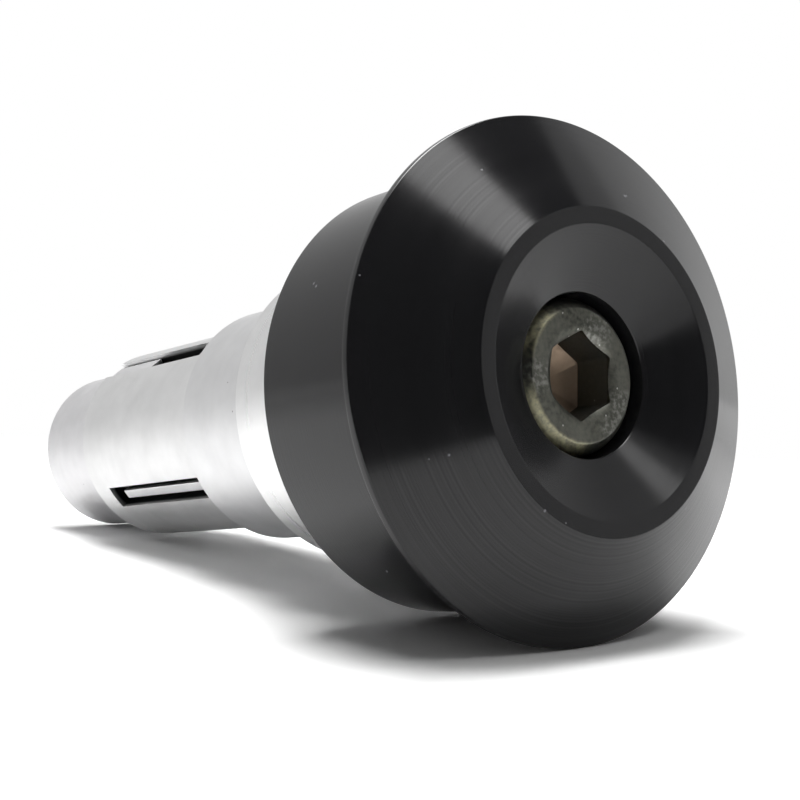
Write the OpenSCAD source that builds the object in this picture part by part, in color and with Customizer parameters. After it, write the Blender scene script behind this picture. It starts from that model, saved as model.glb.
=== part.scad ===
// Bar end weight for a motorcycle handlebar, with its expander and centring rings.
// The axis of the bar is the Y axis. The weight's back face lies at y = 0 and butts
// against the end of the bar, the nose looks along -Y and the expander along +Y.

/* [Weight] */
// Diameter of the front disc
rim_d = 33.6; // [31:0.2:40]
// Width of the straight land round the disc
rim_land = 0.5; // [0.4:0.1:1.5]
// Bevel on both edges of the land
rim_bevel = 0.12; // [0.05:0.01:0.18]
// Height of the turned front cone, from the land to the nose
cone_h = 3.9; // [2.5:0.1:6]
// Diameter of the flat nose
nose_d = 20.4; // [18:0.2:24]
// Width of the flat ring round the nose
nose_ring_w = 1.05; // [0.6:0.05:2]
// Depth of the dish inside the nose ring
dish_depth = 2; // [1:0.1:3]
// Diameter of the body behind the disc
body_d = 29.2; // [26:0.2:30]
// Length of the body, from its back face to the disc
body_len = 11.9; // [9:0.1:30]
// Bevel on the back edge of the body
body_bevel = 0.4; // [0.1:0.1:1]
// Radius of the fillet where the body meets the disc
root_fillet = 0.5; // [0.2:0.1:0.6]

/* [Screw] */
// Thread diameter
thread_d = 6; // [5:0.5:6]
// How far the end of the screw lies inside the back of the nut
screw_end_depth = 1.1; // [0.5:0.1:4]
// Diameter of the head
head_d = 10; // [9:0.1:11]
// Height of the head
head_h = 6; // [4.5:0.1:7]
// Radius of the rounded edge of the head
head_round = 0.85; // [0.3:0.05:1]
// Width across the flats of the hexagon socket
socket_af = 5; // [4:0.5:5]
// Depth of the hexagon socket
socket_depth = 3; // [2:0.1:3.5]
// Diameter of the bevelled mouth of the socket
socket_mouth_d = 6.3; // [6:0.1:7]
// Turn of the hexagon away from upright, in degrees
socket_turn = 6; // [0:1:30]
// How far the face of the head lies behind the edge of its counterbore
head_set_back = 0.2; // [0:0.05:1]
// Gap all round the head in its counterbore
head_gap = 0.2; // [0.1:0.05:0.4]
// Gap between the underside of the head and its seat
seat_gap = 0.02; // [0.01:0.01:0.05]
// Diameter of the clearance bore for the thread
clearance_bore_d = 6.6; // [6.4:0.1:7]
// Radial running gap between the thread and the nut
thread_gap = 0.05; // [0.02:0.01:0.09]

/* [Centring rings] */
// Diameter of the large ring
large_ring_d = 21.6; // [20:0.1:25]
// Length of the large ring
large_ring_len = 9.2; // [6:0.1:14]
// Diameter of the guide collar
collar_d = 18; // [17:0.1:19.4]
// Length of the guide collar
collar_len = 10.4; // [8:0.1:14]
// Diameter of the spigot in front of the collar, which carries the large ring
spigot_d = 14; // [12:0.1:16]
// Radial gap between the large ring and the spigot
ring_gap = 0.1; // [0.05:0.05:0.2]
// Bevel on the free edges of the rings
ring_bevel = 0.2; // [0.1:0.05:0.4]

/* [Expander] */
// Outside diameter of the expander sleeve
sleeve_d = 16; // [15:0.1:17]
// Inside diameter of the middle of the sleeve
sleeve_bore_d = 12; // [11.4:0.1:12.6]
// Length of the sleeve
sleeve_len = 18.4; // [17:0.1:24]
// Gap between the collar's face and the sleeve, which seats on the fixed cone
sleeve_gap = 0.3; // [0.2:0.1:0.6]
// Width of the slots in the sleeve
slot_w = 2; // [1.6:0.1:2.4]
// Length of sleeve left whole at the closed end of each slot
slot_land = 2.5; // [2:0.1:4]
// Turn of the first pair of slots, in degrees from the top towards -X
slot_turn = 36.5; // [0:0.5:90]
// Half angle of the two cones that spread the sleeve, in degrees
taper = 10; // [8:0.5:12]
// Radial gap between the nut's cone and the mouth of the sleeve
cone_gap = 0.1; // [0.05:0.05:0.2]
// Length of the fixed cone behind the collar
fixed_cone_len = 6; // [4:0.1:6.5]
// Width of the guide tongues
tongue_w = 0.8; // [0.6:0.1:1.2]
// How far the tongues and keys lie below the surface of the sleeve
tongue_drop = 0.35; // [0.3:0.05:0.5]
// Room between the end of a tongue and the closed end of its slot
tongue_room = 1.4; // [1.2:0.1:3]

/* [Cone nut] */
// Diameter of the nut behind the sleeve
nut_d = 13.6; // [13:0.1:14]
// Length of the nut behind the sleeve
nut_tail_len = 9.7; // [8:0.1:14]
// Length of the cone and of the keys inside the sleeve
nut_cone_len = 6.8; // [5:0.1:7]
// Gap on each side of a key in its slot
key_gap = 0.1; // [0.05:0.05:0.2]
// Bevel on the back edge of the nut
nut_bevel = 0.4; // [0.2:0.1:1]

/* [Hidden] */
$fn = 96;
cut = 1;

nose_y = -(body_len + rim_land + cone_h);
dish_y = nose_y + dish_depth;
head_y = dish_y + head_set_back;
seat_y = head_y + head_h + seat_gap;
counterbore_d = head_d + 2 * head_gap;
screw_end_bevel = 0.7;
socket_point_h = 1;

collar_y = large_ring_len;
collar_back_y = collar_y + collar_len;
sleeve_y = collar_back_y + sleeve_gap;
sleeve_back_y = sleeve_y + sleeve_len;
nut_nose_y = sleeve_back_y - nut_cone_len;
nut_back_y = sleeve_back_y + nut_tail_len;

taper_slope = tan(taper);
mouth_r = nut_d / 2 + cone_gap;
fixed_cone_r = mouth_r + sleeve_gap * taper_slope;
fixed_cone_end_r = fixed_cone_r - fixed_cone_len * taper_slope;
mouth_len = (mouth_r - sleeve_bore_d / 2) / taper_slope;
guide_r = sleeve_d / 2 - tongue_drop;
tongue_end_y = sleeve_back_y - slot_land - tongue_room;
tongue_inner_r = nut_d / 2 - (sleeve_back_y - tongue_end_y) * taper_slope + 2 * cone_gap;
tongue_root = 0.5;
sleeve_bevel = 0.15;
// The seam of the turned tube lies midway between two slots.
seam_turn = 45 - slot_turn;

// A solid turned round the Y axis from points given as [radius, y].
module turned(points) {
  rotate([-90, 0, 0]) rotate_extrude() polygon(points);
}

// A round bar along the Y axis from y0 to y1.
module bar(r, y0, y1) {
  translate([0, y0, 0]) rotate([-90, 0, 0]) cylinder(r = r, h = y1 - y0);
}

// A cone along the Y axis, from radius r0 at y0 to radius r1 at y1.
module cone(r0, r1, y0, y1) {
  translate([0, y0, 0]) rotate([-90, 0, 0]) cylinder(r1 = r0, r2 = r1, h = y1 - y0);
}

// A flat bar w wide that reaches r out from the axis on both sides, turned about the axis.
module cross_bar(w, r, y0, y1, turn) {
  rotate([0, -turn, 0]) translate([-w / 2, y0, -r]) cube([w, y1 - y0, 2 * r]);
}

// Points of a quarter turn of radius r about [x, y], from angle a0, in eight steps.
function quarter(x, y, r, a0, step) =
  [for (i = [0:8]) [x + r * cos(a0 + i * step), y + r * sin(a0 + i * step)]];

module weight() {
  rim_r = rim_d / 2;
  body_r = body_d / 2;
  disc_back_y = -body_len;
  land_front_y = disc_back_y - rim_land;
  color([0.17, 0.17, 0.18])
  difference() {
    turned(concat(
      [[0, 0], [body_r - body_bevel, 0], [body_r, -body_bevel]],
      quarter(body_r + root_fillet, disc_back_y + root_fillet, root_fillet, 180, 90 / 8),
      [
        [rim_r - rim_bevel, disc_back_y],
        [rim_r, disc_back_y - rim_bevel],
        [rim_r, land_front_y + rim_bevel],
        [rim_r - rim_bevel, land_front_y],
        [nose_d / 2, nose_y],
        [0, nose_y]
      ]
    ));
    cone(nose_d / 2 - nose_ring_w, counterbore_d / 2, nose_y, dish_y);
    bar(nose_d / 2 - nose_ring_w, nose_y - cut, nose_y);
    bar(counterbore_d / 2, dish_y - cut / 2, seat_y);
    bar(clearance_bore_d / 2, seat_y - cut, cut);
  }
}

module socket_screw() {
  head_r = head_d / 2;
  shank_r = thread_d / 2;
  under_y = head_y + head_h;
  end_y = nut_back_y - screw_end_depth;
  mouth_h = (socket_mouth_d - socket_af) / 2 * tan(30);
  color([0.36, 0.33, 0.29])
  difference() {
    turned(concat(
      [[0, head_y]],
      quarter(head_r - head_round, head_y + head_round, head_round, -90, 90 / 8),
      [
        [head_r, under_y],
        [shank_r, under_y],
        [shank_r, end_y - screw_end_bevel],
        [shank_r - screw_end_bevel, end_y],
        [0, end_y]
      ]
    ));
    rotate([0, socket_turn, 0]) translate([0, head_y - cut, 0]) rotate([-90, 30, 0])
      cylinder(d = socket_af / cos(30), h = socket_depth + cut, $fn = 6);
    cone(socket_mouth_d / 2, socket_af / 2, head_y, head_y + mouth_h);
    cone(socket_af / 2, 0, head_y + socket_depth, head_y + socket_depth + socket_point_h);
  }
}

module large_ring() {
  ring_r = large_ring_d / 2;
  bore_r = spigot_d / 2 + ring_gap;
  color([0.86, 0.86, 0.85])
  difference() {
    turned([
      [0, 0],
      [ring_r, 0],
      [ring_r, large_ring_len - ring_bevel],
      [ring_r - ring_bevel, large_ring_len],
      [0, large_ring_len]
    ]);
    bar(bore_r, -cut, large_ring_len + cut);
  }
}

module guide_collar() {
  collar_r = collar_d / 2;
  color([0.8, 0.8, 0.79])
  difference() {
    union() {
      turned([
        [0, 0],
        [spigot_d / 2 - ring_bevel, 0],
        [spigot_d / 2, ring_bevel],
        [spigot_d / 2, collar_y],
        [collar_r, collar_y],
        [collar_r, collar_back_y - ring_bevel],
        [collar_r - ring_bevel, collar_back_y],
        [0, collar_back_y]
      ]);
      cone(fixed_cone_r, fixed_cone_end_r, collar_back_y, collar_back_y + fixed_cone_len);
      tongues();
    }
    bar(clearance_bore_d / 2, -cut, collar_back_y + fixed_cone_len + cut);
  }
}

// The two tongues that run in the slots open at the front and keep the sleeve from turning.
module tongues() {
  difference() {
    intersection() {
      cross_bar(tongue_w, sleeve_d, collar_back_y - tongue_root, tongue_end_y, slot_turn + 90);
      bar(guide_r, collar_back_y - tongue_root, tongue_end_y);
    }
    bar(tongue_inner_r, collar_back_y, tongue_end_y + cut);
  }
}

module expander_sleeve() {
  sleeve_r = sleeve_d / 2;
  bore_r = sleeve_bore_d / 2;
  color([0.83, 0.83, 0.82])
  difference() {
    rotate([0, seam_turn, 0]) turned([
      [bore_r, sleeve_y + mouth_len],
      [mouth_r, sleeve_y],
      [sleeve_r - sleeve_bevel, sleeve_y],
      [sleeve_r, sleeve_y + sleeve_bevel],
      [sleeve_r, sleeve_back_y - sleeve_bevel],
      [sleeve_r - sleeve_bevel, sleeve_back_y],
      [mouth_r, sleeve_back_y],
      [bore_r, sleeve_back_y - mouth_len]
    ]);
    cross_bar(slot_w, sleeve_d, sleeve_y + slot_land, sleeve_back_y + cut, slot_turn);
    cross_bar(slot_w, sleeve_d, sleeve_y - cut, sleeve_back_y - slot_land, slot_turn + 90);
  }
}

module cone_nut() {
  nut_r = nut_d / 2;
  nose_r = nut_r - nut_cone_len * taper_slope;
  color([0.8, 0.8, 0.8])
  difference() {
    union() {
      turned([
        [0, nut_nose_y],
        [nose_r, nut_nose_y],
        [nut_r, sleeve_back_y],
        [nut_r, nut_back_y - nut_bevel],
        [nut_r - nut_bevel, nut_back_y],
        [0, nut_back_y]
      ]);
      intersection() {
        cross_bar(slot_w - 2 * key_gap, sleeve_d, nut_nose_y, sleeve_back_y, slot_turn);
        bar(guide_r, nut_nose_y, sleeve_back_y);
      }
    }
    bar(thread_d / 2 + thread_gap, nut_nose_y - cut, nut_back_y + cut);
  }
}

weight();
socket_screw();
large_ring();
guide_collar();
expander_sleeve();
cone_nut();
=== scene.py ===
# %% [markdown]
# A bar end weight sits in the open end of a handlebar: a dark turned weight with a flared
# disc outside, and a silver expander inside that grips the tube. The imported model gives
# every piece at its real size, in metres, with the bar's axis along Y and the nose at -Y.
# This script dresses those pieces without moving them.

import math

import bmesh
import bpy
from mathutils import Matrix, Vector


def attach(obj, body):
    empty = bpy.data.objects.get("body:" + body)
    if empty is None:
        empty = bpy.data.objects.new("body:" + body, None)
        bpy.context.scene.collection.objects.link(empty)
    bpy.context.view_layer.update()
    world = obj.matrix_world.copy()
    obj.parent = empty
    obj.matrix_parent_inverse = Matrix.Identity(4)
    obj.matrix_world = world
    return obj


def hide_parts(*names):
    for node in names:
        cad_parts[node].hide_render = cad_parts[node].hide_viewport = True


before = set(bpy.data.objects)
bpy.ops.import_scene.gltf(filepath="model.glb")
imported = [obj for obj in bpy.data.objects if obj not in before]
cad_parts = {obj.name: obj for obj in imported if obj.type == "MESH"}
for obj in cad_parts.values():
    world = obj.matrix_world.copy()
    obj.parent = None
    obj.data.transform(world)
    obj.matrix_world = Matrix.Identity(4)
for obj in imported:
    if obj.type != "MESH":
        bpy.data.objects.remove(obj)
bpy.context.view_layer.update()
MM = 0.001
SHARP_ANGLE = math.radians(34)
print("nodes:", ", ".join(sorted(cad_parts)))

# %% [markdown]
# The camera comes first, because everything is judged through it. It looks at the nose
# from the left and a little from above, close by, so the disc looms and the expander
# shrinks away behind it. The place was worked out from the round edges of the photo.

# %% Camera
RIGHT = Vector((0.78655, -0.61418, -0.06423))
UP = Vector((0.00187, -0.10163, 0.99482))
BACK = Vector((-0.61753, -0.78259, -0.07879))
CAMERA_PLACE = (-0.067515, -0.081271, -0.008262)
LENS_MM = 68.87
camera_data = bpy.data.cameras.new("camera")
camera_data.lens = LENS_MM
camera_data.sensor_width = 36.0
camera_data.sensor_fit = "HORIZONTAL"
camera_data.clip_start = 0.005
camera = bpy.data.objects.new("camera", camera_data)
bpy.context.scene.collection.objects.link(camera)
turn = Matrix((RIGHT, UP, BACK)).transposed()
camera.matrix_world = Matrix.Translation(CAMERA_PLACE) @ turn.to_4x4()
bpy.context.scene.camera = camera
bpy.context.scene.view_settings.view_transform = "Standard"
print("camera at", tuple(round(v, 4) for v in camera.location))

# %% [markdown]
# Nearly every piece here comes off a lathe, so one helper does most of the work. It takes
# rows of (radius, y) in millimetres and turns them round the Y axis, fine enough that no
# facet shows. A row may carry a share of the thread: its radius then follows a helix of
# one millimetre pitch, which is all that a screw thread is.

# %% Lathe helper
PITCH = 1.0
THREAD_DEPTH = 0.56
THREAD_SLOPE = 2.4
THREAD_CREST = 0.1


def new_piece(name, build, outward=True):
    """The object made from a build, in the scene, with its faces turned outward if asked."""
    if outward:
        bmesh.ops.recalc_face_normals(build, faces=build.faces)
    mesh = bpy.data.meshes.new(name)
    build.to_mesh(mesh)
    build.free()
    piece = bpy.data.objects.new(name, mesh)
    bpy.context.scene.collection.objects.link(piece)
    return piece


def thread_wave(turns):
    """The thread's depth, from 0 on its flat crest to 1 in its root, after that many turns."""
    share = turns - math.floor(turns)
    return min(1.0, max(0.0, THREAD_SLOPE * abs(share - 0.5) - THREAD_CREST))


def lathe(name, rows, segments=240, closed=True):
    """A solid turned round Y from rows of (radius, y) or (radius, y, share of the thread)."""
    build = bmesh.new()
    rings = []
    for row in rows:
        radius, y = row[0], row[1]
        cut = row[2] if len(row) > 2 else 0.0
        if radius < 1e-6:
            rings.append([build.verts.new((0, y * MM, 0))])
            continue
        ring = []
        for i in range(segments):
            angle = 2 * math.pi * i / segments
            r = radius
            if cut:
                r -= cut * THREAD_DEPTH * thread_wave(y / PITCH - i / segments)
            x, z = r * MM * math.sin(angle), r * MM * math.cos(angle)
            ring.append(build.verts.new((x, y * MM, z)))
        rings.append(ring)
    pairs = list(zip(rings, rings[1:]))
    if closed:
        pairs.append((rings[-1], rings[0]))
    for low, high in pairs:
        for i in range(segments):
            j = (i + 1) % segments
            if len(low) == 1:
                build.faces.new((low[0], high[i], high[j]))
            elif len(high) == 1:
                build.faces.new((low[j], low[i], high[0]))
            else:
                build.faces.new((low[j], low[i], high[i], high[j]))
    piece = new_piece(name, build)
    piece.data.shade_smooth()
    piece.data.set_sharp_from_angle(angle=SHARP_ANGLE)
    return piece


def eased(points, steps=4):
    """The points of an outline with each corner (radius, y, ease) turned into a small arc."""
    out = []
    count = len(points)
    for i, (x, y, ease) in enumerate(points):
        here = Vector((x, y))
        if ease <= 0:
            out.append((x, y))
            continue
        before = (Vector(points[i - 1][:2]) - here).normalized()
        after = (Vector(points[(i + 1) % count][:2]) - here).normalized()
        for k in range(steps + 1):
            t = k / steps
            p = here + before * ease * (1 - t) ** 2 + after * ease * t ** 2
            out.append((p.x, p.y))
    return out


def flat_faces_first(piece):
    """Lets the large faces set the shading, so that small edge rounds stay crisp."""
    weigh = piece.modifiers.new("weigh_faces", "WEIGHTED_NORMAL")
    weigh.mode = "FACE_AREA"
    weigh.keep_sharp = True


def carve(piece, cutters):
    """Cuts the cutters out of the piece for good, and removes them."""
    for cutter in cutters:
        cut = piece.modifiers.new("cut", "BOOLEAN")
        cut.operation = "DIFFERENCE"
        cut.solver = "EXACT"
        cut.object = cutter
    graph = bpy.context.evaluated_depsgraph_get()
    carved = bpy.data.meshes.new_from_object(piece.evaluated_get(graph))
    piece.modifiers.clear()
    piece.data = carved
    for cutter in cutters:
        bpy.data.objects.remove(cutter)


def ease_edges(piece, width, angle=50):
    """Breaks the sharp edges that a cut leaves, as a deburring tool does."""
    ease = piece.modifiers.new("ease_edges", "BEVEL")
    ease.width = width * MM
    ease.segments = 2
    ease.limit_method = "ANGLE"
    ease.angle_limit = math.radians(angle)
    graph = bpy.context.evaluated_depsgraph_get()
    eased_mesh = bpy.data.meshes.new_from_object(piece.evaluated_get(graph))
    piece.modifiers.clear()
    piece.data = eased_mesh
    piece.data.shade_smooth()
    piece.data.set_sharp_from_angle(angle=SHARP_ANGLE)


def bar_across(name, width, y0, y1, turn_deg, inner, outer):
    """A flat bar from radius inner to outer, turned from +Z towards -X, with round faces."""
    build = bmesh.new()
    steps = 8
    layers = []
    for y in (y0, y1):
        loop = []
        for radius, order in ((outer, 1), (inner, -1)):
            for k in range(steps + 1):
                x = order * width * (k / steps - 0.5)
                z = math.sqrt(radius * radius - x * x)
                loop.append(build.verts.new((x * MM, y * MM, z * MM)))
        layers.append(loop)
    count = len(layers[0])
    for i in range(count):
        j = (i + 1) % count
        build.faces.new((layers[0][i], layers[0][j], layers[1][j], layers[1][i]))
    build.faces.new(layers[0])
    build.faces.new(list(reversed(layers[1])))
    piece = new_piece(name, build)
    piece.data.transform(Matrix.Rotation(-math.radians(turn_deg), 4, "Y"))
    return piece


def join(pieces):
    """Joins pieces into the first one."""
    bpy.ops.object.select_all(action="DESELECT")
    for piece in pieces:
        piece.select_set(True)
    bpy.context.view_layer.objects.active = pieces[0]
    bpy.ops.object.join()
    bpy.ops.object.select_all(action="DESELECT")
    return pieces[0]


print("helpers ready")

# %% [markdown]
# The weight is one turning. The flared disc ends in a thin land, and from there a shallow
# cone rises to a narrow flat ring, which holds a dish and the counterbore for the screw.

# %% Weight
NOSE_Y = -16.3
LAND_Y = -12.4
DISC_BACK_Y = -11.9
RIM_R = 16.8
BODY_R = 14.6
SHOULDER_R = 14.2
NOSE_R = 10.2
DISH_R = 9.15
DISH_DEPTH = 2.0
COUNTERBORE_R = 5.2
COUNTERBORE_Y = -8.08
BORE_R = 3.3
weight = lathe("weight_turned", eased([
    (BORE_R, 0, 0.1),
    (SHOULDER_R, 0, 0.08),
    (BODY_R, -0.4, 0.08),
    (BODY_R, DISC_BACK_Y + 0.5, 0),
    (14.65, DISC_BACK_Y + 0.24, 0),
    (14.82, DISC_BACK_Y + 0.06, 0),
    (15.1, DISC_BACK_Y, 0),
    (RIM_R, DISC_BACK_Y, 0.08),
    (RIM_R, LAND_Y, 0.09),
    (NOSE_R, NOSE_Y, 0.05),
    (DISH_R, NOSE_Y, 0.06),
    (COUNTERBORE_R, NOSE_Y + DISH_DEPTH, 0.1),
    (COUNTERBORE_R, COUNTERBORE_Y, 0.1),
    (BORE_R, COUNTERBORE_Y, 0.05),
]), segments=360)
flat_faces_first(weight)
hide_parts("weight")
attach(weight, "holder")
print("weight:", len(weight.data.polygons), "faces")

# %% [markdown]
# The socket screw is turned too, and then a hexagon is cut into its head. Its shank is
# plain near the head and threaded at the far end, where it draws on the nut.

# %% Socket screw
HEAD_Y = -14.1
UNDER_HEAD_Y = -8.1
THREAD_START_Y = 22.9
SCREW_END_Y = 46.9
HEAD_R = 5.0
SHANK_R = 3.0
ROOT_R = 2.42
head_rows = eased([
    (0, HEAD_Y, 0),
    (3.2, HEAD_Y, 0),
    (4.25, HEAD_Y, 0.1),
    (HEAD_R, HEAD_Y + 0.8, 0.4),
    (HEAD_R, UNDER_HEAD_Y, 0.1),
    (3.2, UNDER_HEAD_Y, 0.1),
    (SHANK_R, UNDER_HEAD_Y + 0.25, 0.1),
])
THREAD_ROWS = 16
run = int((SCREW_END_Y - 0.6 - THREAD_START_Y) / PITCH * THREAD_ROWS)
thread_rows = [(SHANK_R, THREAD_START_Y - 0.4)]
for step in range(run + 1):
    y = THREAD_START_Y + step * PITCH / THREAD_ROWS
    thread_rows.append((SHANK_R, y, min(1.0, (y - THREAD_START_Y) / PITCH)))
thread_rows += [(ROOT_R, SCREW_END_Y), (0, SCREW_END_Y)]
screw_rows = head_rows + thread_rows
screw = lathe("socket_screw_detailed", screw_rows, segments=96, closed=False)


def hexagon(name, across, y0, y1, turn_deg, round_r):
    """A six-sided bar along Y with rounded corners and a drilled tip at its far end."""
    build = bmesh.new()
    corner = across / math.cos(math.radians(30)) / 2
    inset = round_r / math.cos(math.radians(30))
    loop = []
    for k in range(6):
        middle = math.radians(60 * k + turn_deg)
        for part in (-1, -0.5, 0, 0.5, 1):
            angle = middle + math.radians(30) * part
            x = (corner - inset) * math.sin(middle) + round_r * math.sin(angle)
            z = (corner - inset) * math.cos(middle) + round_r * math.cos(angle)
            loop.append((x, z))
    near = [build.verts.new((x * MM, y0 * MM, z * MM)) for x, z in loop]
    far = [build.verts.new((x * MM, y1 * MM, z * MM)) for x, z in loop]
    tip = build.verts.new((0, (y1 + 1.0) * MM, 0))
    count = len(loop)
    for i in range(count):
        j = (i + 1) % count
        build.faces.new((near[i], near[j], far[j], far[i]))
        build.faces.new((far[i], far[j], tip))
    build.faces.new(near)
    return new_piece(name, build)


KEY_ACROSS = 5.0
KEY_DEPTH = 3.0
KEY_TURN = 6
KEY_CORNER_R = 0.25
key_hole = hexagon("key_hole", KEY_ACROSS, HEAD_Y - 1, HEAD_Y + KEY_DEPTH, KEY_TURN, KEY_CORNER_R)
mouth = lathe("mouth", [
    (0, HEAD_Y - 0.5),
    (3.75, HEAD_Y - 0.5),
    (2.97, HEAD_Y),
    (2.35, HEAD_Y + 0.36),
    (0, HEAD_Y + 0.36),
], segments=96, closed=False)
carve(screw, [key_hole, mouth])
ease_edges(screw, 0.04)
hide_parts("socket_screw")
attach(screw, "screw")
print("socket screw:", len(screw.data.polygons), "faces")

# %% [markdown]
# The two centring rings are short turned sleeves. The large one is a plain ring, pushed
# over the spigot of the guide collar, whose two thin tongues run in the sleeve's slots.

# %% Centring rings
SLOT_TURN = 36.5
RING_BORE_R = 7.1
RING_R = 10.8
RING_BACK_Y = 9.2
SPIGOT_R = 7.0
COLLAR_R = 9.0
COLLAR_BACK_Y = 19.6
CONE_BACK_Y = 25.6
TONGUE_WIDTH = 0.8
TONGUE_R = 7.65
TONGUE_END_Y = 34.4
large_ring = lathe("large_ring_turned", eased([
    (RING_BORE_R, 0, 0.1),
    (RING_R, 0, 0.05),
    (RING_R, RING_BACK_Y, 0.2),
    (RING_BORE_R, RING_BACK_Y, 0.15),
]))
flat_faces_first(large_ring)
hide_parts("large_ring")
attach(large_ring, "holder")

collar = lathe("guide_collar_turned", eased([
    (BORE_R, 0, 0.1),
    (SPIGOT_R, 0, 0.2),
    (SPIGOT_R, RING_BACK_Y, 0),
    (COLLAR_R, RING_BACK_Y, 0.12),
    (COLLAR_R, COLLAR_BACK_Y, 0.2),
    (6.95, COLLAR_BACK_Y, 0.02),
    (5.9, CONE_BACK_Y, 0.15),
    (BORE_R, CONE_BACK_Y, 0.1),
]))
flat_faces_first(collar)
tongues = []
for side in (90, 270):
    tongue = bar_across("tongue", TONGUE_WIDTH, COLLAR_BACK_Y - 0.5, TONGUE_END_Y,
                        SLOT_TURN + side, 6.32, TONGUE_R)
    ease_edges(tongue, 0.06)
    tongues.append(tongue)
collar = join([collar] + tongues)
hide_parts("guide_collar")
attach(collar, "holder")
print("rings:", len(large_ring.data.polygons), "and", len(collar.data.polygons), "faces")

# %% [markdown]
# The expander sleeve is a tube with tapered mouths and four saw cuts, two from each end.
# The cuts are made by taking long flat bars away from the turned tube.

# %% Expander sleeve
SLEEVE_Y = 19.9
SLEEVE_BACK_Y = 38.3
SLEEVE_R = 8.0
SLEEVE_BORE_R = 6.0
MOUTH_R = 6.9
TAPER_LENGTH = 5.1
SLOT_WIDTH = 2.0
LAND = 2.5
sleeve = lathe("expander_sleeve_slotted", eased([
    (SLEEVE_BORE_R, SLEEVE_Y + TAPER_LENGTH, 0.2),
    (MOUTH_R, SLEEVE_Y, 0.1),
    (SLEEVE_R, SLEEVE_Y, 0.15),
    (SLEEVE_R, SLEEVE_BACK_Y, 0.15),
    (MOUTH_R, SLEEVE_BACK_Y, 0.1),
    (SLEEVE_BORE_R, SLEEVE_BACK_Y - TAPER_LENGTH, 0.2),
]))
cuts = []
for side in (0, 180):
    for start, end, turn_deg in ((SLEEVE_Y + LAND, SLEEVE_BACK_Y + 1, SLOT_TURN + side),
                                 (SLEEVE_Y - 1, SLEEVE_BACK_Y - LAND, SLOT_TURN + 90 + side)):
        cuts.append(bar_across("cut", SLOT_WIDTH, start, end, turn_deg, 4.0, 10.0))
carve(sleeve, cuts)
ease_edges(sleeve, 0.07)
flat_faces_first(sleeve)
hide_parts("expander_sleeve")
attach(sleeve, "holder")
print("sleeve:", len(sleeve.data.polygons), "faces")

# %% [markdown]
# The cone nut fills the sleeve's back mouth. Its bore is threaded to match the screw, in
# step with it, and two keys in the slots keep it from turning.

# %% Cone nut
NUT_NOSE_Y = 31.5
NUT_BACK_Y = 48.0
NUT_R = 6.8
NUT_BORE_R = 3.1
NUT_THREAD_R = 3.08
NUT_KEY_WIDTH = 1.8
nut_rows = eased([
    (NUT_BORE_R, NUT_NOSE_Y, 0),
    (5.6, NUT_NOSE_Y, 0.1),
    (NUT_R, SLEEVE_BACK_Y, 0.05),
    (NUT_R, NUT_BACK_Y, 0.4),
    (3.6, NUT_BACK_Y, 0),
])
inner_rows = [(NUT_BORE_R, NUT_BACK_Y - 0.5)]
run = int((NUT_BACK_Y - 1.0 - NUT_NOSE_Y - 0.5) / PITCH * THREAD_ROWS)
for step in range(run + 1):
    y = NUT_BACK_Y - 0.9 - step * PITCH / THREAD_ROWS
    inner_rows.append((NUT_THREAD_R, y, 1.0))
nut = lathe("cone_nut_threaded", nut_rows + inner_rows, segments=144)
keys = []
for side in (0, 180):
    key = bar_across("key", NUT_KEY_WIDTH, NUT_NOSE_Y, SLEEVE_BACK_Y,
                     SLOT_TURN + side, 4.6, TONGUE_R)
    ease_edges(key, 0.08)
    keys.append(key)
nut = join([nut] + keys)
flat_faces_first(nut)
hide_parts("cone_nut")
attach(nut, "nut")
print("nut:", len(nut.data.polygons), "faces")

# %% [markdown]
# Turned metal is never smooth: the tool leaves a fine spiral, so light smears into a fan
# across the rings. Two things make that here. A noise that only changes along the radius
# and the axis gives the fine lines, and anisotropic gloss along the turning direction
# gives the fan. The group works out the lines once, for every turned finish.

# %% Turning marks, a shared group


def new_group(name, inputs, outputs):
    """A node group with its sockets, its nodes and links, and its two ends."""
    group = bpy.data.node_groups.new(name, "ShaderNodeTree")
    for label, kind, default in inputs:
        socket = group.interface.new_socket(label, in_out="INPUT", socket_type=kind)
        if default is not None:
            socket.default_value = default
    for label in outputs:
        group.interface.new_socket(label, in_out="OUTPUT", socket_type="NodeSocketFloat")
    nodes, links = group.nodes, group.links
    return group, nodes, links, nodes.new("NodeGroupInput"), nodes.new("NodeGroupOutput")


def math_node(nodes, links, operation, a, b=None, clamp=False):
    """A Math node fed by values or sockets, and its output."""
    node = nodes.new("ShaderNodeMath")
    node.operation = operation
    node.use_clamp = clamp
    for slot_index, value in enumerate((a, b)):
        if value is None:
            continue
        if isinstance(value, (int, float)):
            node.inputs[slot_index].default_value = value
        else:
            links.new(value, node.inputs[slot_index])
    return node.outputs[0]


def radius_and_y(nodes, links):
    """The distance from the Y axis and the place along it, both in metres."""
    place = nodes.new("ShaderNodeTexCoord")
    split = nodes.new("ShaderNodeSeparateXYZ")
    links.new(place.outputs["Object"], split.inputs[0])
    xx = math_node(nodes, links, "POWER", split.outputs["X"], 2.0)
    zz = math_node(nodes, links, "POWER", split.outputs["Z"], 2.0)
    radius = math_node(nodes, links, "SQRT", math_node(nodes, links, "ADD", xx, zz))
    return radius, split.outputs["Y"]


def noise_along(nodes, links, value, detail):
    """A noise that changes only with one value."""
    node = nodes.new("ShaderNodeTexNoise")
    node.noise_dimensions = "1D"
    node.inputs["Detail"].default_value = detail
    node.inputs["Scale"].default_value = 1.0
    links.new(value, node.inputs["W"])
    return node.outputs["Fac"]


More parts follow.
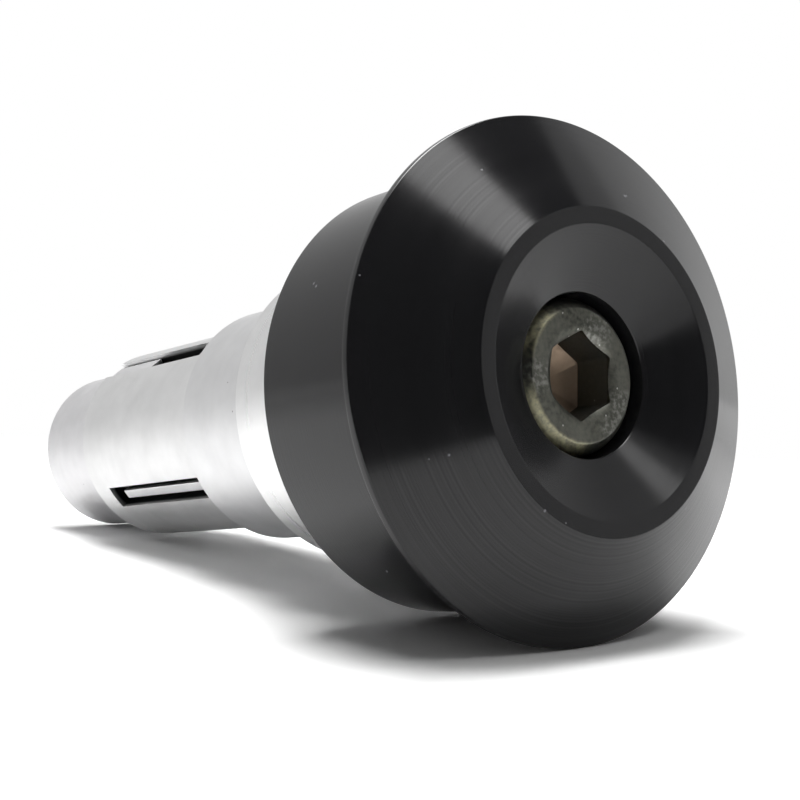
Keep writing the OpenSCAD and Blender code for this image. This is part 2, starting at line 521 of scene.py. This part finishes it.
FLOAT, VECTOR = "NodeSocketFloat", "NodeSocketVector"
SLANT = -0.83
turning, nodes, links, inside, outside = new_group("turning_marks", (
    ("Lines per mm", FLOAT, 12.0),
    ("Band size in mm", FLOAT, 1.2),
), ("Lines", "Bands"))
radius, y_place = radius_and_y(nodes, links)
# along the outline, radius and depth both move, so their sum never stands still on a face
slanted = math_node(nodes, links, "MULTIPLY", y_place, SLANT)
along = math_node(nodes, links, "ADD", radius, slanted)
along_mm = math_node(nodes, links, "MULTIPLY", along, 1000.0)
fine_place = math_node(nodes, links, "MULTIPLY", along_mm, inside.outputs["Lines per mm"])
wide_place = math_node(nodes, links, "DIVIDE", along_mm, inside.outputs["Band size in mm"])
links.new(noise_along(nodes, links, fine_place, 2.0), outside.inputs["Lines"])
links.new(noise_along(nodes, links, wide_place, 3.0), outside.inputs["Bands"])
print("turning marks:", len(nodes), "nodes")

# %% [markdown]
# Dust, lint and small nicks sit on every used or handled part. One group gives a mask of
# sparse specks, another a mask round one chosen place, for the marks that the photo shows.

# %% Specks, shared groups
SHARE_OF_CELLS_LEFT_CLEAR = 0.72
specks, nodes, links, inside, outside = new_group("sparse_specks", (
    ("Specks per mm", FLOAT, 0.8),
    ("Size", FLOAT, 0.06),
), ("Mask",))
place = nodes.new("ShaderNodeTexCoord")
cells = nodes.new("ShaderNodeTexVoronoi")
cells.feature = "F1"
links.new(place.outputs["Object"], cells.inputs["Vector"])
per_metre = math_node(nodes, links, "MULTIPLY", inside.outputs["Specks per mm"], 1000.0)
links.new(per_metre, cells.inputs["Scale"])
near = math_node(nodes, links, "LESS_THAN", cells.outputs["Distance"], inside.outputs["Size"])
shade = nodes.new("ShaderNodeSeparateColor")
links.new(cells.outputs["Color"], shade.inputs[0])
chosen = math_node(nodes, links, "GREATER_THAN", shade.outputs[0], SHARE_OF_CELLS_LEFT_CLEAR)
links.new(math_node(nodes, links, "MULTIPLY", near, chosen), outside.inputs["Mask"])

mark, nodes, links, inside, outside = new_group("mark_at", (
    ("Place", VECTOR, None),
    ("Radius in mm", FLOAT, 0.2),
), ("Mask",))
place = nodes.new("ShaderNodeTexCoord")
apart = nodes.new("ShaderNodeVectorMath")
apart.operation = "DISTANCE"
links.new(place.outputs["Object"], apart.inputs[0])
links.new(inside.outputs["Place"], apart.inputs[1])
size = math_node(nodes, links, "MULTIPLY", inside.outputs["Radius in mm"], MM)
share = math_node(nodes, links, "DIVIDE", apart.outputs["Value"], size)
nearness = math_node(nodes, links, "SUBTRACT", 1.0, share)
soft_edge = math_node(nodes, links, "MULTIPLY", nearness, 2.0, clamp=True)
links.new(soft_edge, outside.inputs["Mask"])
print("specks:", len(specks.nodes), "nodes, mark:", len(mark.nodes), "nodes")

# %% [markdown]
# Little light finds its way into the slots, so whatever lies below the sleeve's outside
# looks dark there, and the aluminium finishes paint that shade into their colour. One group
# gives a mask of all that lies nearer the axis than a radius, between two places along it,
# and lets it fade out towards the second.

# %% Hollow, a shared group
hollow, nodes, links, inside, outside = new_group("hollow", (
    ("Radius in mm", FLOAT, 7.5),
    ("From y in mm", FLOAT, 0.0),
    ("To y in mm", FLOAT, 50.0),
    ("Fade in mm", FLOAT, 0.05),
), ("Mask",))
radius, y_place = radius_and_y(nodes, links)
radius_mm = math_node(nodes, links, "MULTIPLY", radius, 1000.0)
y_mm = math_node(nodes, links, "MULTIPLY", y_place, 1000.0)
depth = math_node(nodes, links, "SUBTRACT", inside.outputs["Radius in mm"], radius_mm)
mask = math_node(nodes, links, "MULTIPLY", depth, 4.0, clamp=True)
after = math_node(nodes, links, "GREATER_THAN", y_mm, inside.outputs["From y in mm"])
mask = math_node(nodes, links, "MULTIPLY", mask, after)
left = math_node(nodes, links, "SUBTRACT", inside.outputs["To y in mm"], y_mm)
fading = math_node(nodes, links, "DIVIDE", left, inside.outputs["Fade in mm"], clamp=True)
links.new(math_node(nodes, links, "MULTIPLY", mask, fading), outside.inputs["Mask"])
print("hollow:", len(nodes), "nodes")

# %% [markdown]
# Each finish is a Principled shader. This helper makes one with its plain numbers set on
# the shader's own sockets, and the tangent that runs round the Y axis, as the tool did.

# %% Material helper


def turned_metal(name, color, metallic, roughness, anisotropy, specular=0.5):
    """A material for a piece turned round Y, and its nodes, links and shader."""
    material = bpy.data.materials.new(name)
    material.use_nodes = True
    nodes, links = material.node_tree.nodes, material.node_tree.links
    shader = nodes["Principled BSDF"]
    shader.inputs["Base Color"].default_value = (*color, 1.0)
    shader.inputs["Metallic"].default_value = metallic
    shader.inputs["Roughness"].default_value = roughness
    shader.inputs["Anisotropic"].default_value = anisotropy
    shader.inputs["Specular IOR Level"].default_value = specular
    tangent = nodes.new("ShaderNodeTangent")
    tangent.direction_type = "RADIAL"
    tangent.axis = "Y"
    links.new(tangent.outputs[0], shader.inputs["Tangent"])
    return material, nodes, links, shader


def use_group(nodes, group, **values):
    """Places a shared group in a material with its own values."""
    node = nodes.new("ShaderNodeGroup")
    node.node_tree = group
    for key, value in values.items():
        node.inputs[key.replace("_", " ")].default_value = value
    return node


def mix_colors(nodes, links, mask, a, b):
    """A mix from a to b by a mask. Both may be colours or sockets."""
    node = nodes.new("ShaderNodeMix")
    node.data_type = "RGBA"
    links.new(mask, node.inputs["Factor"])
    for key, value in ((6, a), (7, b)):
        if isinstance(value, tuple):
            node.inputs[key].default_value = (*value, 1.0)
        else:
            links.new(value, node.inputs[key])
    return node.outputs[2]


def bump(nodes, links, height, strength, distance_mm, normal=None):
    """A Bump node over a height."""
    node = nodes.new("ShaderNodeBump")
    node.inputs["Strength"].default_value = strength
    node.inputs["Distance"].default_value = distance_mm * MM
    links.new(height, node.inputs["Height"])
    if normal is not None:
        links.new(normal, node.inputs["Normal"])
    return node.outputs[0]


def spread(nodes, links, value, low, high):
    """Spreads a noise value, which is mostly between 0.3 and 0.7, to a range from low to high."""
    node = nodes.new("ShaderNodeMapRange")
    node.inputs["From Min"].default_value = 0.3
    node.inputs["From Max"].default_value = 0.7
    node.inputs["To Min"].default_value = low
    node.inputs["To Max"].default_value = high
    links.new(value, node.inputs["Value"])
    return node.outputs[0]


def dress(piece, material):
    """Gives a piece its one material."""
    piece.data.materials.clear()
    piece.data.materials.append(material)


# %% [markdown]
# Dark anodising is a thin black glass over turned aluminium. It is almost black where
# nothing bright is mirrored, and its gloss along the lines turns a lamp into a grey fan on
# the cone. The lines themselves show as a thin coat that comes and goes.

# %% Dark anodised finish
dark, nodes, links, shader = turned_metal(
    "dark_anodised", (0.01, 0.01, 0.011), metallic=0.0, roughness=0.14, anisotropy=0.7,
    specular=0.4)
lines = use_group(nodes, turning, Lines_per_mm=15.0, Band_size_in_mm=0.9)
dust = use_group(nodes, specks, Specks_per_mm=0.45, Size=0.035)
DEEP_BLACK, SOFT_BLACK = (0.009, 0.009, 0.0098), (0.012, 0.012, 0.013)
base = mix_colors(nodes, links, lines.outputs["Bands"], DEEP_BLACK, SOFT_BLACK)
base = mix_colors(nodes, links, dust.outputs["Mask"], base, (0.16, 0.16, 0.17))
SMALL_MARKS = (
    ((3.85, -15.22, 11.39), 0.14),
    ((4.08, -15.17, 11.46), 0.11),
    ((-12.81, -14.23, -4.87), 0.06),
    ((-11.8, -14.82, -4.71), 0.1),
    ((-6.08, -16.3, -8.21), 0.12),
    ((-4.47, -16.3, -8.99), 0.08),
    ((-12.92, -4.2, 6.8), 0.13),
    ((-13.05, -4.6, 6.56), 0.12),
)
for spot, size in SMALL_MARKS:
    nick = use_group(nodes, mark, Place=tuple(v * MM for v in spot), Radius_in_mm=size)
    base = mix_colors(nodes, links, nick.outputs["Mask"], base, (0.14, 0.14, 0.15))
links.new(base, shader.inputs["Base Color"])
links.new(spread(nodes, links, lines.outputs["Bands"], 0.11, 0.14), shader.inputs["Roughness"])
links.new(spread(nodes, links, lines.outputs["Lines"], 0.0, 0.2), shader.inputs["Coat Weight"])
shader.inputs["Coat Roughness"].default_value = 0.14
links.new(bump(nodes, links, lines.outputs["Lines"], 0.25, 0.006), shader.inputs["Normal"])
dress(weight, dark)
print("dark anodised:", len(nodes), "nodes")

# %% [markdown]
# The expander's pieces are bare aluminium, turned and left matt. Each has its own base
# colour, a little lighter or darker than the next.

# %% Bare aluminium finishes


def bare_aluminium(name, color, roughness, line_strength, shade_below, shade_start, shade_end):
    """Matt turned aluminium with faint clouds and rings of tone, and painted shade where it lies in a
    slot.
    """
    material, nodes, links, shader = turned_metal(name, color, 1.0, roughness, 0.35)
    lines = use_group(nodes, turning, Lines_per_mm=9.0, Band_size_in_mm=0.8)
    place = nodes.new("ShaderNodeTexCoord")
    cloud = nodes.new("ShaderNodeTexNoise")
    cloud.inputs["Scale"].default_value = 450.0
    cloud.inputs["Detail"].default_value = 3.0
    links.new(place.outputs["Object"], cloud.inputs["Vector"])
    darker = tuple(v * 0.93 for v in color)
    clouds = spread(nodes, links, cloud.outputs["Fac"], 0.0, 1.0)
    tone = mix_colors(nodes, links, clouds, darker, color)
    dust = use_group(nodes, specks, Specks_per_mm=0.7, Size=0.05)
    tone = mix_colors(nodes, links, dust.outputs["Mask"], tone, (0.25, 0.24, 0.23))
    # Painted shade: the colour goes near black where the piece lies in a slot or inside the sleeve.
    painted_slot_shade = use_group(nodes, hollow, Radius_in_mm=shade_below, From_y_in_mm=shade_start,
                     To_y_in_mm=shade_end, Fade_in_mm=2.0)
    tone = mix_colors(nodes, links, painted_slot_shade.outputs["Mask"], tone, (0.035, 0.037, 0.035))
    links.new(tone, shader.inputs["Base Color"])
    low, high = roughness - 0.05, roughness + 0.05
    links.new(spread(nodes, links, lines.outputs["Bands"], low, high), shader.inputs["Roughness"])
    links.new(bump(nodes, links, lines.outputs["Lines"], line_strength, 0.01), shader.inputs["Normal"])
    return material


# The last three numbers of each row place the painted shade: below which radius, and from and to which
# y, in mm.
SILVER = (
    (large_ring, "ring_aluminium", (0.93, 0.93, 0.93), 0.3, 0.015, 0.0, 0.0, 0.0),
    (collar, "collar_aluminium", (0.82, 0.82, 0.825), 0.42, 0.025, 7.45, 19.65, 60.0),
    (sleeve, "sleeve_aluminium", (0.85, 0.85, 0.85), 0.44, 0.015, 7.8, 0.0, 38.4),
    (nut, "nut_aluminium", (0.83, 0.825, 0.835), 0.46, 0.02, 7.45, 0.0, 37.6),
)
for piece, *finish in SILVER:
    dress(piece, bare_aluminium(*finish))
print("aluminium finishes:", len(SILVER))

# %% [markdown]
# The screw is dark steel that has been handled: grey and grainy on its face, with a brassy
# tint on its left edges, which is partly wear and partly a painted highlight, a brown floor
# in the socket, and bright flecks where the finish has gone. A coarse and a fine noise share
# the work, and marks place the wear and that painted highlight.

# %% Worn steel screw
steel, nodes, links, shader = turned_metal("screw_steel", (0.1, 0.1, 0.09), 1.0, 0.4, 0.1)
place = nodes.new("ShaderNodeTexCoord")


def noise(scale, detail):
    """A 3D noise in the piece's own place, with its scale in waves per metre."""
    node = nodes.new("ShaderNodeTexNoise")
    node.inputs["Scale"].default_value = scale
    node.inputs["Detail"].default_value = detail
    links.new(place.outputs["Object"], node.inputs["Vector"])
    return node.outputs["Fac"]


cloud = noise(380.0, 4.0)
grain = noise(3200.0, 3.0)
DARK_STEEL = (0.055, 0.058, 0.05)
GREY_STEEL = (0.14, 0.143, 0.125)
PALE_STEEL = (0.23, 0.225, 0.19)
clouds = spread(nodes, links, cloud, 0.0, 1.0)
tone = mix_colors(nodes, links, clouds, DARK_STEEL, GREY_STEEL)
tone = mix_colors(nodes, links, spread(nodes, links, grain, 0.0, 0.55), tone, PALE_STEEL)
face = use_group(nodes, hollow, Radius_in_mm=4.3, From_y_in_mm=-20.0, To_y_in_mm=0.0)
edge = math_node(nodes, links, "SUBTRACT", 1.0, face.outputs["Mask"])


def wear_and_highlight_spots(tone, spots, low, high, color, within=None):
    """The tone with grainy soft spots of a colour on it, kept to a mask if one is given."""
    for spot, size in spots:
        spot_mask = use_group(nodes, mark, Place=tuple(v * MM for v in spot), Radius_in_mm=size)
        grainy = spread(nodes, links, grain, low, high)
        patch = math_node(nodes, links, "MULTIPLY", spot_mask.outputs["Mask"], grainy, clamp=True)
        if within is not None:
            patch = math_node(nodes, links, "MULTIPLY", patch, within)
        tone = mix_colors(nodes, links, patch, tone, color)
    return tone


BRASSY_WEAR_AND_HIGHLIGHT_SPOTS = (
    ((-3.5, -13.7, 3.1), 2.3),
    ((-3.9, -13.7, -2.6), 2.6),
    ((-1.6, -13.6, -4.5), 2.4),
)
RUBBED_SPOTS = (
    ((1.6, -14.1, 2.7), 1.5),
    ((3.3, -14.1, -1.9), 1.3),
    ((2.2, -14.1, -3.4), 1.1),
    ((-3.6, -14.1, 0.0), 1.2),
)
# Brassy spots on the head's left edges: partly wear, partly a painted highlight where the chamfer
# catches the light.
tone = wear_and_highlight_spots(tone, BRASSY_WEAR_AND_HIGHLIGHT_SPOTS, 0.2, 1.0, (0.42, 0.4, 0.26), within=edge)
tone = wear_and_highlight_spots(tone, RUBBED_SPOTS, -0.6, 0.9, (0.33, 0.33, 0.31))
FLOOR_FROM_Y, FLOOR_TO_Y, WALLS_FROM_Y = -11.13, -9.9, -13.75
socket_floor = use_group(nodes, hollow, Radius_in_mm=3.2, From_y_in_mm=FLOOR_FROM_Y,
                         To_y_in_mm=FLOOR_TO_Y)
rusty = spread(nodes, links, cloud, 0.7, 1.0)
rust = math_node(nodes, links, "MULTIPLY", socket_floor.outputs["Mask"], rusty, clamp=True)
tone = mix_colors(nodes, links, rust, tone, (0.36, 0.265, 0.19))
walls = use_group(nodes, hollow, Radius_in_mm=3.1, From_y_in_mm=WALLS_FROM_Y,
                  To_y_in_mm=FLOOR_FROM_Y)
tone = mix_colors(nodes, links, walls.outputs["Mask"], tone, (0.2, 0.2, 0.18))
flecks = use_group(nodes, specks, Specks_per_mm=1.6, Size=0.1)
tone = mix_colors(nodes, links, flecks.outputs["Mask"], tone, (0.5, 0.5, 0.47))
links.new(tone, shader.inputs["Base Color"])
links.new(spread(nodes, links, grain, 0.34, 0.56), shader.inputs["Roughness"])
rough = bump(nodes, links, grain, 0.25, 0.03)
links.new(bump(nodes, links, cloud, 0.25, 0.05, rough), shader.inputs["Normal"])
dress(screw, steel)
print("screw steel:", len(nodes), "nodes")

# %% [markdown]
# The weight lies on its side: the disc's edge and the nut's far end touch the table, so
# the table is tilted in the part's own frame. It is white, and only a soft shadow shows.
# Further out it fades into a plain glow, and from below the camera sees through it.

# %% Table
TABLE_TILT = math.radians(9.39)
WHITE_TABLE = 1.1
TABLE_PLACE = (0, -0.01243, -0.01683)
HALF_TABLE = 1.6
SHADE_TO_METAL = 0.8
GLOW, EXTRA_GLOW_TO_CAMERA = 0.82, 0.18
FADE_FROM, FADE_TO = 0.07, 0.16
build = bmesh.new()
for x, y in ((-1, -1), (1, -1), (1, 1), (-1, 1)):
    build.verts.new((x * HALF_TABLE, y * HALF_TABLE, 0))
build.faces.new(build.verts)
table = new_piece("table", build, outward=False)
table.matrix_world = Matrix.Translation(TABLE_PLACE) @ Matrix.Rotation(TABLE_TILT, 4, "X")
white = bpy.data.materials.new("white_table")
white.use_nodes = True
nodes, links = white.node_tree.nodes, white.node_tree.links
nodes.clear()
result = nodes.new("ShaderNodeOutputMaterial")
paths = nodes.new("ShaderNodeLightPath")
faces = nodes.new("ShaderNodeNewGeometry")
plain = nodes.new("ShaderNodeBsdfDiffuse")
glow = nodes.new("ShaderNodeEmission")
to_camera, to_gloss = paths.outputs["Is Camera Ray"], paths.outputs["Is Glossy Ray"]
extra = math_node(nodes, links, "MULTIPLY", to_camera, EXTRA_GLOW_TO_CAMERA)
links.new(math_node(nodes, links, "ADD", extra, GLOW), glow.inputs["Strength"])
clear = nodes.new("ShaderNodeBsdfTransparent")
fade = nodes.new("ShaderNodeMixShader")
choose = nodes.new("ShaderNodeMixShader")
seen = math_node(nodes, links, "MAXIMUM", to_camera, to_gloss)
tint = mix_colors(nodes, links, to_camera, (SHADE_TO_METAL,) * 3, (WHITE_TABLE,) * 3)
links.new(tint, plain.inputs["Color"])
place = nodes.new("ShaderNodeTexCoord")
reach = nodes.new("ShaderNodeVectorMath")
reach.operation = "LENGTH"
links.new(place.outputs["Object"], reach.inputs[0])
far = nodes.new("ShaderNodeMapRange")
far.inputs["From Min"].default_value = FADE_FROM
far.inputs["From Max"].default_value = FADE_TO
links.new(reach.outputs["Value"], far.inputs["Value"])
links.new(math_node(nodes, links, "MULTIPLY", far.outputs[0], seen), fade.inputs[0])
links.new(plain.outputs[0], fade.inputs[1])
links.new(glow.outputs[0], fade.inputs[2])
under = math_node(nodes, links, "MULTIPLY", faces.outputs["Backfacing"], to_camera)
links.new(under, choose.inputs[0])
links.new(fade.outputs[0], choose.inputs[1])
links.new(clear.outputs[0], choose.inputs[2])
links.new(choose.outputs[0], result.inputs["Surface"])
table.data.materials.append(white)
print("table tilted by", round(math.degrees(TABLE_TILT), 2), "degrees")

# %% [markdown]
# A wide soft lamp overhead and two small ones, which draw the fans of light, shape the
# metal. The world is white to the camera and in reflections, and only a gentle fill for
# everything else.

# %% Light
world = bpy.data.worlds.new("studio")
bpy.context.scene.world = world
world.use_nodes = True
nodes, links = world.node_tree.nodes, world.node_tree.links
nodes.clear()
result = nodes.new("ShaderNodeOutputWorld")
paths = nodes.new("ShaderNodeLightPath")
fill = nodes.new("ShaderNodeBackground")
to_camera, to_gloss = paths.outputs["Is Camera Ray"], paths.outputs["Is Glossy Ray"]
seen = math_node(nodes, links, "MAXIMUM", to_camera, to_gloss)
seen = math_node(nodes, links, "MAXIMUM", seen, paths.outputs["Is Transmission Ray"])
links.new(mix_colors(nodes, links, seen, (0.16, 0.16, 0.16), (1.0, 1.0, 1.0)), fill.inputs["Color"])
links.new(fill.outputs[0], result.inputs["Surface"])

FLOOR_UP = Vector((0, -math.sin(TABLE_TILT), math.cos(TABLE_TILT)))


def softbox(name, place, target, width, height, watts):
    """A rectangular lamp at a place, turned towards a target."""
    data = bpy.data.lights.new(name, "AREA")
    data.shape = "RECTANGLE"
    data.size = width
    data.size_y = height
    data.energy = watts
    lamp = bpy.data.objects.new(name, data)
    bpy.context.scene.collection.objects.link(lamp)
    lamp.location = place
    lamp.rotation_euler = (target - place).to_track_quat("-Z", "Y").to_euler()


middle = Vector((0, 0.01, 0))
TO_CAMERA = (BACK - FLOOR_UP * BACK.dot(FLOOR_UP)).normalized()
SIDEWAYS = FLOOR_UP.cross(TO_CAMERA)


def way(around, up):
    """The direction that lies some degrees round from the camera and some degrees up."""
    a, e = math.radians(around), math.radians(up)
    level = TO_CAMERA * math.cos(a) + SIDEWAYS * math.sin(a)
    return level * math.cos(e) + FLOOR_UP * math.sin(e)


softbox("overhead", middle + way(200, 83) * 0.42, middle, 0.24, 0.24, 2.7)
softbox("fan", middle + way(56, 62) * 0.4, middle, 0.115, 0.13, 0.19)
softbox("dish_fan", middle + way(66, 44) * 0.4, middle, 0.07, 0.07, 0.028)
print("lamps:", len(bpy.data.lights))

# %% [markdown]
# Turned metal is mostly a picture of its room. The room behind the camera is dark, its
# ceiling is dim and its walls are grey, and that is what draws the sharp sectors on the
# cone. Curved cards stand there, each a patch of a big ball. Only reflections see them.

# %% Room cards


def room_card(name, around, up, grey, reach=0.7):
    """A curved card seen only by reflections, from one pair of angles to the other."""
    build = bmesh.new()
    across, high = 24, 12
    grid = []
    for i in range(across + 1):
        column = []
        for k in range(high + 1):
            a = around[0] + (around[1] - around[0]) * i / across
            e = up[0] + (up[1] - up[0]) * k / high
            column.append(build.verts.new(middle + way(a, e) * reach))
        grid.append(column)
    for i in range(across):
        for k in range(high):
            corners = (grid[i][k], grid[i + 1][k], grid[i + 1][k + 1], grid[i][k + 1])
            build.faces.new(corners)
    card = new_piece(name, build, outward=False)
    card.visible_camera = False
    card.visible_diffuse = False
    card.visible_shadow = False
    card.visible_transmission = False
    tone = bpy.data.materials.new(name)
    tone.use_nodes = True
    nodes, links = tone.node_tree.nodes, tone.node_tree.links
    nodes.clear()
    shine = nodes.new("ShaderNodeEmission")
    shine.inputs["Color"].default_value = (grey, grey, grey, 1.0)
    end = nodes.new("ShaderNodeOutputMaterial")
    links.new(shine.outputs[0], end.inputs["Surface"])
    card.data.materials.append(tone)


WALL, WHOLE, CEILING = (-9, 50), (-9, 86), (50, 86)
room_card("card_front", (-60, 28), WALL, 0.015, reach=0.11)
room_card("card_beside", (27, 50), WALL, 0.015)
room_card("card_ceiling", (-60, 130), CEILING, 0.03)
room_card("card_side", (50, 95), WALL, 0.47)
room_card("card_corner", (95, 130), WALL, 0.4)
room_card("card_right", (130, 165), WHOLE, 0.58)
room_card("card_back", (165, 300), WHOLE, 0.6)
print("room cards: 7")
